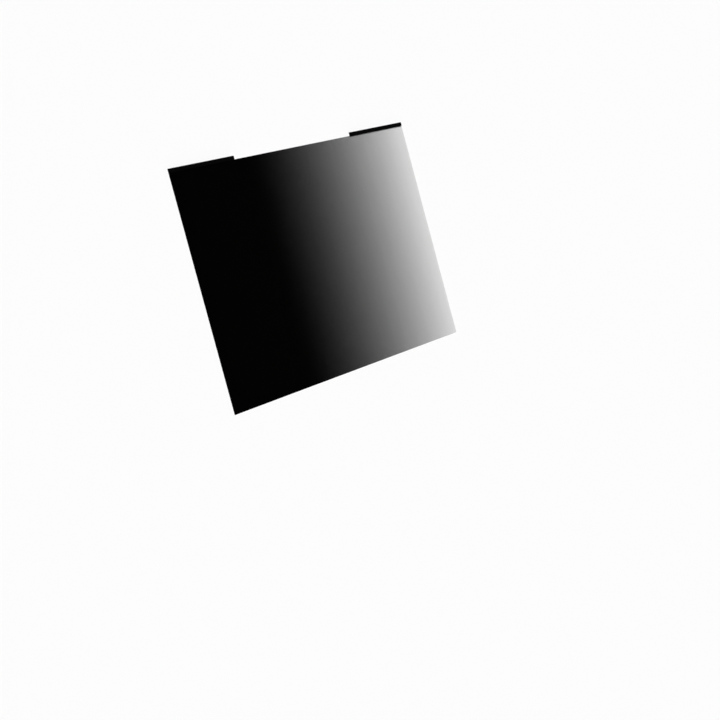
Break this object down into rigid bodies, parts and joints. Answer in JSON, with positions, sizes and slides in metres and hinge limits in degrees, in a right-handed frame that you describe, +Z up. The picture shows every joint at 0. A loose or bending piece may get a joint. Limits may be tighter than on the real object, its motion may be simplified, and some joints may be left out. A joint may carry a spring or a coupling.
{
  "type": "laptop privacy filter",
  "caption": "Thin flat sheet of dark tinted film that covers a laptop display, with a black mounting strip on a low ear at each end of its top edge.",
  "frame": {"origin": "on the underside, below the middle of the whole outline, ears included", "axes": "+X to the right across the sheet, +Y towards the edge with the ears, +Z up out of the face with the mounting strips, which is the face that the picture shows"},
  "size_m": [0.344, 0.197, 0.001],
  "materials": {
    "tinted_film": "clear film with a neutral grey tint, black at the left and nearly clear at the right, with a low-glare coat",
    "black_strip": "matt black, with a fine even grain"
  },
  "bodies": {
    "root": {"privacy_sheet": "tinted_film", "left_mounting_strip": "black_strip", "right_mounting_strip": "black_strip"}
  },
  "joints": []
}
